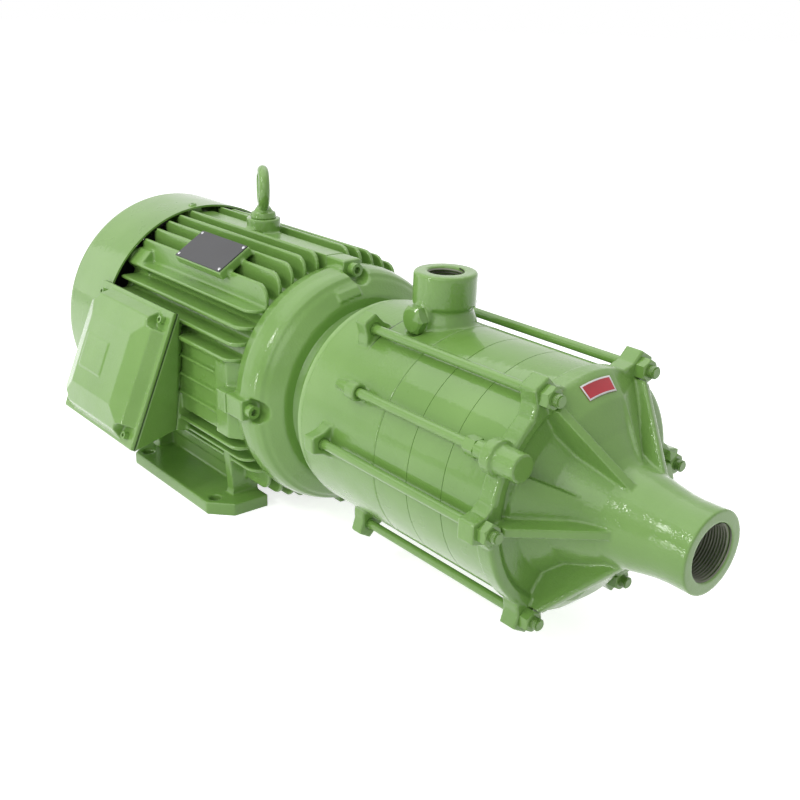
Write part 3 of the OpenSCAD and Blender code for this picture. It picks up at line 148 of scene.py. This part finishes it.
def make_world():
    """A soft pale sky that lights the object, and plain white where it is seen."""
    world = bpy.data.worlds.new("studio")
    bpy.context.scene.world = world
    world.use_nodes = True
    tree = world.node_tree
    tree.nodes.clear()
    out = tree.nodes.new("ShaderNodeOutputWorld")
    lit = background(tree, SKY, SKY_LIGHT)
    seen = background(tree, WHITE, BACKGROUND_GLOW)
    lit_or_seen(tree, lit, seen, out)


def make_floor():
    """A pale disc: white where it is seen, apart from the object's shadow."""
    mesh = bpy.data.meshes.new("floor")
    angles = [math.tau * i / FLOOR_SIDES for i in range(FLOOR_SIDES)]
    ring = [(FLOOR_RADIUS * math.cos(angle), FLOOR_RADIUS * math.sin(angle), 0) for angle in angles]
    mesh.from_pydata(ring, [], [tuple(range(FLOOR_SIDES))])
    floor = bpy.data.objects.new("floor", mesh)
    bpy.context.collection.objects.link(floor)
    material = bpy.data.materials.new("floor")
    material.use_nodes = True
    tree = material.node_tree
    tree.nodes.clear()
    out = tree.nodes.new("ShaderNodeOutputMaterial")
    diffuse = tree.nodes.new("ShaderNodeBsdfDiffuse")
    diffuse.inputs["Color"].default_value = (*FLOOR_GREY, 1)
    glow = tree.nodes.new("ShaderNodeEmission")
    glow.inputs["Strength"].default_value = FLOOR_GLOW
    glowing = tree.nodes.new("ShaderNodeAddShader")
    tree.links.new(diffuse.outputs[0], glowing.inputs[0])
    tree.links.new(glow.outputs[0], glowing.inputs[1])
    lit_or_seen(tree, diffuse.outputs[0], glowing.outputs[0], out)
    floor.data.materials.append(material)


# Materials

# A noise's scale is in 1/m, and a bump's depth in metres. Where a noise sets a colour or the
# roughness, it does so between these two of its values.
NOISE_LOW, NOISE_HIGH = 0.3, 0.7

# Pointiness where the painted highlight on outer edges begins and where it is full
EDGE_START, EDGE_FULL = 0.54, 0.60


class Surface:
    """A material, with short calls for making and linking its nodes."""

    def __init__(self, name):
        self.material = bpy.data.materials.new(name)
        self.material.use_nodes = True
        self.tree = self.material.node_tree
        self.shader = self.tree.nodes["Principled BSDF"]
        self.place = self.add("ShaderNodeTexCoord").outputs["Object"]

    def add(self, kind, **settings):
        node = self.tree.nodes.new(kind)
        for key, value in settings.items():
            setattr(node, key, value)
        return node

    def link(self, source, target):
        self.tree.links.new(source, target)

    def set(self, constants):
        """Sets sockets of the shader to constants, by their names."""
        for name, value in constants.items():
            self.shader.inputs[name].default_value = value

    def coordinate(self, axis):
        """One coordinate of the surface, in the shared frame's metres."""
        node = self.add("ShaderNodeSeparateXYZ")
        self.link(self.place, node.inputs[0])
        return node.outputs[axis]

    def noise(self, scale, detail, rough=0.55):
        node = self.add("ShaderNodeTexNoise")
        node.inputs["Scale"].default_value = scale
        node.inputs["Detail"].default_value = detail
        node.inputs["Roughness"].default_value = rough
        self.link(self.place, node.inputs["Vector"])
        return node.outputs["Fac"]

    def ramp(self, value, stops):
        """A colour that follows a value, by stops of a value and a colour each."""
        node = self.add("ShaderNodeValToRGB")
        points = node.color_ramp.elements
        while len(points) < len(stops):
            points.new(0.5)
        for point, (at, colour) in zip(points, stops):
            point.position = at
            point.color = (*colour, 1)
        self.link(value, node.inputs["Fac"])
        return node.outputs["Color"]

    def span(self, value, low, high, start, end):
        """low where a value is start, high where it is end, and held at them beyond."""
        node = self.add("ShaderNodeMapRange")
        node.inputs["From Min"].default_value = start
        node.inputs["From Max"].default_value = end
        node.inputs["To Min"].default_value = low
        node.inputs["To Max"].default_value = high
        self.link(value, node.inputs["Value"])
        return node.outputs["Result"]

    def arithmetic(self, operation, first, second=None):
        """One step of arithmetic on a value, with a number or another value."""
        node = self.add("ShaderNodeMath", operation=operation)
        self.link(first, node.inputs[0])
        if isinstance(second, (int, float)):
            node.inputs[1].default_value = second
        elif second is not None:
            self.link(second, node.inputs[1])
        return node.outputs[0]

    def bump(self, value, distance, strength, below=None):
        """A normal from heights, on top of another bump where one is given."""
        node = self.add("ShaderNodeBump")
        node.inputs["Strength"].default_value = strength
        node.inputs["Distance"].default_value = distance
        self.link(value, node.inputs["Height"])
        if below is not None:
            self.link(below, node.inputs["Normal"])
        return node.outputs["Normal"]

    def cover(self, colour, share, over):
        """Another colour laid over a colour, by a share from 0 to 1."""
        node = self.add("ShaderNodeMix", data_type="RGBA")
        self.link(share, node.inputs["Factor"])
        self.link(colour, node.inputs["A"])
        node.inputs["B"].default_value = (*over, 1)
        return node.outputs["Result"]

    def edges(self):
        """1 on outer edges, 0 elsewhere, from the mesh's own shape."""
        geometry = self.add("ShaderNodeNewGeometry")
        return self.span(geometry.outputs["Pointiness"], 0.0, 1.0, EDGE_START, EDGE_FULL)

    def roughen(self, noise, roughness, below, above):
        """Lets the roughness vary with a noise, from below its value to above it."""
        varied = self.span(noise, roughness - below, roughness + above, NOISE_LOW, NOISE_HIGH)
        self.link(varied, self.shader.inputs["Roughness"])


GREEN = (0.182, 0.345, 0.076)
GREEN_DARK = (0.158, 0.312, 0.062)
GREEN_LIGHT = (0.208, 0.378, 0.092)
# A painted highlight: the pale green laid over the castings' outer edges, and how much of it is
# laid there
GREEN_HIGHLIGHT = (0.42, 0.62, 0.27)
HIGHLIGHT_SHARE = 0.6
PAINT_STOPS = [(0.30, GREEN_DARK), (0.52, GREEN), (0.74, GREEN_LIGHT)]
PAINT_GLOSS = {"Specular IOR Level": 0.1, "Coat Weight": 0.9, "Coat Roughness": 0.05}
PAINT_SPREAD = (0.07, 0.13)

# The paint's noises, as scale and detail: patches of colour, patches of gloss, and its peel
PATCHES = (9.0, 3.0)
GLOSS = (34.0, 3.0)
PEEL = (150.0, 2.0)
PEEL_DEPTH, PEEL_STRENGTH = 0.00025, 0.5

# The casting's grain, and the wider ripple that it leaves in the gloss of the paint over it
GRAIN, GRAIN_DEPTH = 420.0, 0.0006
GRAIN_DETAIL, GRAIN_ROUGH, GRAIN_STRENGTH = 5.0, 0.62, 0.5
RIPPLE_SCALE, RIPPLE_DEPTH = 1.2, 0.5
RIPPLE_DETAIL, RIPPLE_ROUGH, RIPPLE_STRENGTH = 2.0, 0.5, 0.8

# The discharge casing's joint: a fine dark line over its top. It is full within JOINT_DARK of
# its station and gone at JOINT_CLEAR. In height it fades in from JOINT_LOW to JOINT_FULL and has
# no upper end, so it also runs up the back of the discharge port.
JOINT_X = 0.2496
JOINT_DARK, JOINT_CLEAR = 0.0002, 0.0006
JOINT_LOW, JOINT_FULL = 0.205, 0.220
JOINT_COLOUR = (0.012, 0.018, 0.010)

# The thread at the tie rods' suction end
STUD_THREAD_X = 0.4485
STUD_PITCH = 1.5 * MM
STUD_THREAD_DEPTH = 0.0004


def with_joint(surface, colour, joint_at):
    """The colour, with the joint's dark line over it."""
    past = surface.arithmetic("SUBTRACT", surface.coordinate("X"), joint_at)
    off = surface.arithmetic("ABSOLUTE", past)
    narrow = surface.span(off, 1.0, 0.0, JOINT_DARK, JOINT_CLEAR)
    upper = surface.span(surface.coordinate("Z"), 0.0, 1.0, JOINT_LOW, JOINT_FULL)
    return surface.cover(colour, surface.arithmetic("MULTIPLY", narrow, upper), JOINT_COLOUR)


def with_thread(surface, normal, thread_from):
    """The normal, with a thread round the X axis beyond a station."""
    along = surface.coordinate("X")
    turned = surface.arithmetic("MULTIPLY", along, math.tau / STUD_PITCH)
    wave = surface.arithmetic("SINE", turned)
    here = surface.arithmetic("GREATER_THAN", along, thread_from)
    return surface.bump(surface.arithmetic("MULTIPLY", wave, here), STUD_THREAD_DEPTH, 1.0, normal)


def painted(name, roughness, cast_surface=False, thread_from=None, joint_at=None):
    """Green gloss paint, over a grained casting or over smooth metal. Beyond the station
    thread_from it is threaded, and at the station joint_at a dark line runs over the top."""
    surface = Surface(name)
    colour = surface.ramp(surface.noise(*PATCHES), PAINT_STOPS)
    if joint_at:
        colour = with_joint(surface, colour, joint_at)
    # A painted highlight: the castings' outer edges are lightened towards a pale green
    if cast_surface:
        painted_highlight = surface.arithmetic("MULTIPLY", surface.edges(), HIGHLIGHT_SHARE)
        colour = surface.cover(colour, painted_highlight, GREEN_HIGHLIGHT)
    surface.link(colour, surface.shader.inputs["Base Color"])
    surface.roughen(surface.noise(*GLOSS), roughness, *PAINT_SPREAD)
    surface.set(PAINT_GLOSS)
    normal = ripple = surface.bump(surface.noise(*PEEL), PEEL_DEPTH, PEEL_STRENGTH)
    if cast_surface:
        fine = surface.noise(GRAIN, GRAIN_DETAIL, GRAIN_ROUGH)
        wide = surface.noise(GRAIN * RIPPLE_SCALE, RIPPLE_DETAIL, RIPPLE_ROUGH)
        normal = surface.bump(fine, GRAIN_DEPTH, GRAIN_STRENGTH, normal)
        ripple = surface.bump(wide, GRAIN_DEPTH * RIPPLE_DEPTH, RIPPLE_STRENGTH, ripple)
    surface.link(ripple, surface.shader.inputs["Coat Normal"])
    if thread_from:
        normal = with_thread(surface, normal, thread_from)
    surface.link(normal, surface.shader.inputs["Normal"])
    return surface.material


# For metals and for other plain surfaces: their dark parts' share of the colour, the noise of
# their colour and gloss as scale and detail, and how far their roughness varies each way
METAL_SHADE, METAL_SMEAR, METAL_SPREAD = 0.72, (60.0, 4.0), (0.06, 0.12)
PLAIN_SHADE, PLAIN_SMEAR, PLAIN_SPREAD = 0.75, (40.0, 3.0), (0.08, 0.08)
METAL_DETAIL, PLAIN_DETAIL = 2.0, 3.0
FINE_STRENGTH = 0.6
PRINT_GRAIN, PRINT_DEPTH = 300.0, 0.00002


def smeared(name, colour, shade, smear, roughness, spread, grain, depth):
    """A surface whose colour and gloss vary softly together by the noise smear, under a fine
    grain. shade is the dark parts' share of the colour, and spread how far the roughness varies."""
    surface = Surface(name)
    cloud = surface.noise(*smear)
    dark = tuple(channel * shade for channel in colour)
    stops = [(NOISE_LOW, dark), (NOISE_HIGH, colour)]
    surface.link(surface.ramp(cloud, stops), surface.shader.inputs["Base Color"])
    surface.roughen(cloud, roughness, *spread)
    normal = surface.bump(surface.noise(*grain), depth, FINE_STRENGTH)
    surface.link(normal, surface.shader.inputs["Normal"])
    return surface


def metal(name, colour, roughness, grain=900.0, depth=0.00005):
    surface = smeared(name, colour, METAL_SHADE, METAL_SMEAR, roughness, METAL_SPREAD,
                      (grain, METAL_DETAIL), depth)
    surface.set({"Metallic": 1.0})
    return surface.material


def solid(name, colour, roughness, grain=500.0, depth=0.00006):
    """A plastic, rubber or ceramic surface, or thin flat paint."""
    surface = smeared(name, colour, PLAIN_SHADE, PLAIN_SMEAR, roughness, PLAIN_SPREAD,
                      (grain, PLAIN_DETAIL), depth)
    return surface.material


MATERIALS = {
    "casting": painted("painted_casting", 0.34, cast_surface=True),
    "casing": painted("painted_casing", 0.34, cast_surface=True, joint_at=JOINT_X),
    "machined": painted("painted_smooth", 0.30),
    "stud": painted("painted_studs", 0.30, thread_from=STUD_THREAD_X),
    "steel": metal("ground_steel", (0.62, 0.62, 0.64), 0.28),
    "dark_steel": metal("black_steel", (0.10, 0.10, 0.11), 0.42),
    "lamination": metal("laminations", (0.28, 0.28, 0.30), 0.5, 2600.0, 0.0001),
    "copper": metal("enamelled_copper", (0.58, 0.24, 0.10), 0.32, 1400.0, 0.0002),
    "bronze": metal("bronze", (0.52, 0.34, 0.14), 0.34),
    "plastic": solid("black_plastic", (0.022, 0.022, 0.024), 0.45),
    "water_plastic": solid("grey_plastic", (0.09, 0.09, 0.10), 0.40),
    "rubber": solid("rubber", (0.016, 0.016, 0.016), 0.60),
    "ceramic": solid("ceramic", (0.10, 0.10, 0.11), 0.15),
    "label": solid("red_label", (0.52, 0.035, 0.05), 0.35, PRINT_GRAIN, PRINT_DEPTH),
    "label_border": solid("white_label", (0.80, 0.80, 0.78), 0.35, PRINT_GRAIN, PRINT_DEPTH),
    "nameplate": solid("grey_plate", (0.062, 0.062, 0.066), 0.42, PRINT_GRAIN, PRINT_DEPTH),
    "painted_gasket": solid("painted_gasket", (0.050, 0.105, 0.024), 0.45),
    "thread": metal("cut_thread", (0.16, 0.17, 0.13), 0.42),
}

FINISHES = {
    "casting": ["motor_frame", "drive_end_shield", "rear_end_shield", "pump_bracket",
                "discharge_casing", "suction_cover", "terminal_box", "terminal_box_lid",
                "eye_bolt"],
    "machined": ["fan_cover", "fan_cover_screws", "lid_screws", "shield_screws", "priming_plug",
                 "tie_rod_nuts", "balance_pipe", "pipe_nuts", "pipe_adapter", "stage_casing_1",
                 "stage_casing_2", "stage_casing_3"],
    "stud": ["tie_rods"],
    "steel": ["shaft", "front_bearing_outer", "front_bearing_inner", "front_bearing_balls",
              "rear_bearing_outer", "rear_bearing_inner", "rear_bearing_balls", "wave_spring",
              "spacer_sleeves", "impeller_nut", "impeller_key", "seal_head", "seal_spring",
              "nameplate_rivets"],
    "dark_steel": ["fan_circlip", "box_screws", "bracket_screws"],
    "lamination": ["stator_core", "rotor_core"],
    "copper": ["stator_winding"],
    "bronze": ["wear_rings", "terminal_studs"],
    "plastic": ["cooling_fan", "terminal_block"],
    "nameplate": ["nameplate"],
    "water_plastic": [kind + str(k) for kind in ("impeller_", "diffuser_") for k in (1, 2, 3, 4)],
    "rubber": ["casing_o_rings", "water_slinger"],
    "painted_gasket": ["box_gasket"],
    "ceramic": ["seal_seat"],
    "label": ["label_plate"],
}


def dress(mesh, finish):
    mesh.materials.clear()
    mesh.materials.append(MATERIALS[finish])


def dress_nodes():
    for finish, names in FINISHES.items():
        for name in names:
            dress(nodes[name].data, finish)


# Castings

# Each is remade from its node as a fine skin, whose edges and corners are then smoothed. Given
# are the skin's cell in mm and its passes of smoothing, and where it has them, the flat joints
# that stay crisper, in mm along X, and a finish of its own.
SKINS = {
    "motor_frame": (1.2, 2),
    "drive_end_shield": (1.4, 4),
    "discharge_casing": (1.2, 4, (304, 202), "casing"),
    "suction_cover": (1.1, 4, (424,)),
    "terminal_box": (1.2, 3),
    "terminal_box_lid": (0.9, 5),
    "eye_bolt": (0.9, 5),
    "rear_end_shield": (1.8, 3),
}
SMOOTH_FACTOR = 0.5
CRISP_REACH_MM = 2.0
CRISP_SHARE = 0.25


def baked(piece):
    """Puts the result of a piece's modifiers into its mesh."""
    graph = bpy.context.evaluated_depsgraph_get()
    mesh = bpy.data.meshes.new_from_object(piece.evaluated_get(graph))
    old = piece.data
    piece.modifiers.clear()
    piece.data = mesh
    bpy.data.meshes.remove(old)
    return mesh


def cast(node, voxel, passes, crisp_at=(), finish="casting"):
    """Remakes a node as a casting, smoothed less near the joints at crisp_at."""
    piece = bpy.data.objects.new(node + "_cast", nodes[node].data.copy())
    bpy.context.collection.objects.link(piece)
    skin = piece.modifiers.new("skin", "REMESH")
    skin.mode = "VOXEL"
    skin.voxel_size = voxel * MM
    skin.use_smooth_shade = True
    mesh = baked(piece)
    smooth = piece.modifiers.new("smooth", "SMOOTH")
    smooth.factor = SMOOTH_FACTOR
    smooth.iterations = passes
    if crisp_at:
        group = piece.vertex_groups.new(name="soft")
        for vertex in mesh.vertices:
            x = (vertex.co / MM).x
            near = min(abs(x - joint) for joint in crisp_at) < CRISP_REACH_MM
            group.add([vertex.index], CRISP_SHARE if near else 1.0, "REPLACE")
        smooth.vertex_group = "soft"
    mesh = baked(piece)
    piece.vertex_groups.clear()
    dress(mesh, finish)
    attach(piece, "housing")
    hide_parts(node)


def make_castings():
    for node, settings in SKINS.items():
        cast(node, *settings)


# Details that the nodes leave out

# The ridge of a pipe thread: its crest's share of its width, how far its foot lies in the wall,
# its steps in one turn, and the steps over which it fades in and out
PIPE_PITCH = 2.309 * MM
RIDGE_HEIGHT = 1.3 * MM
RIDGE_CREST = 0.15
RIDGE_BED = 0.1 * MM
RIDGE_STEPS = 72
RIDGE_FADE = 50

# The suction nozzle's face, and the discharge port's place and its height above the shaft
SUCTION_X = 0.556
PORT_X, PORT_HEIGHT = 0.273, 0.139

# Each pipe thread's mouth, the way in, the radius of its wall and its depth
PIPE_THREADS = {
    "suction_thread": ((SUCTION_X, 0, SHAFT_Z), (-1, 0, 0), 22.4 * MM, 26 * MM),
    "discharge_thread": ((PORT_X, 0, SHAFT_Z + PORT_HEIGHT), (0, 0, -1), 15.1 * MM, 20 * MM),
}

LABEL_LIFT = 0.3 * MM
LABEL_BORDER = 1.3 * MM
MERGE_DISTANCE = 0.01 * MM
FACE_COSINE = 0.5


def new_piece(name, mesh, finish, replaces=()):
    piece = bpy.data.objects.new(name, mesh)
    bpy.context.collection.objects.link(piece)
    dress(mesh, finish)
    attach(piece, "housing")
    if replaces:
        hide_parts(*replaces)


def mesh_from(work, name):
    mesh = bpy.data.meshes.new(name)
    work.to_mesh(mesh)
    work.free()
    return mesh


def thread(name, mouth, inward, radius, depth):
    """A pipe thread's ridge, wound round the wall of a bore from its mouth inwards."""
    turn = Vector((0, 0, 1)).rotation_difference(Vector(inward)).to_matrix()
    half = PIPE_PITCH / 2
    crest = RIDGE_CREST * half
    profile = ((-half, 0.0), (-crest, RIDGE_HEIGHT), (crest, RIDGE_HEIGHT), (half, 0.0))
    count = int((depth - 2 * half) / PIPE_PITCH * RIDGE_STEPS)
    work = bmesh.new()
    rows = []
    for i in range(count + 1):
        angle = math.tau * i / RIDGE_STEPS
        along = half + PIPE_PITCH * i / RIDGE_STEPS
        fade = min(1.0, i / RIDGE_FADE, (count - i) / RIDGE_FADE)
        row = []
        for shift, rise in profile:
            reach = radius + RIDGE_BED - rise * fade
            point = Vector((reach * math.cos(angle), reach * math.sin(angle), along + shift))
            row.append(work.verts.new(Vector(mouth) + turn @ point))
        rows.append(row)
    for first, second in zip(rows, rows[1:]):
        for k in range(len(profile) - 1):
            work.faces.new((first[k], first[k + 1], second[k + 1], second[k]))
    new_piece(name, mesh_from(work, name), "thread")


def bordered_label():
    """The label's plate again, just above the cover, with a pale border round its face."""
    work = bmesh.new()
    work.from_mesh(nodes["label_plate"].data)
    bmesh.ops.remove_doubles(work, verts=work.verts, dist=MERGE_DISTANCE)
    centre = sum((vertex.co for vertex in work.verts), Vector()) / len(work.verts)
    radial = Vector((0, centre.y, centre.z - SHAFT_Z)).normalized()
    outwards = (radial + Vector((1, 0, 0))).normalized()
    for vertex in work.verts:
        vertex.co += outwards * LABEL_LIFT
    work.normal_update()
    faces = [face for face in work.faces if face.normal.dot(outwards) > FACE_COSINE]
    border = bmesh.ops.inset_region(work, faces=faces, thickness=LABEL_BORDER,
                                    use_even_offset=True)["faces"]
    work.faces.index_update()
    pale = [face.index for face in border]
    mesh = mesh_from(work, "label_face")
    new_piece("label_face", mesh, "label", ["label_plate"])
    # The second slot comes before its indices, because clearing the slots resets those
    mesh.materials.append(MATERIALS["label_border"])
    for index in pale:
        mesh.polygons[index].material_index = 1


def make_details():
    for name, settings in PIPE_THREADS.items():
        thread(name, *settings)
    bordered_label()


make_camera()
make_world()
make_floor()
make_lights()
dress_nodes()
make_castings()
make_details()
bpy.context.scene.view_settings.view_transform = "Standard"
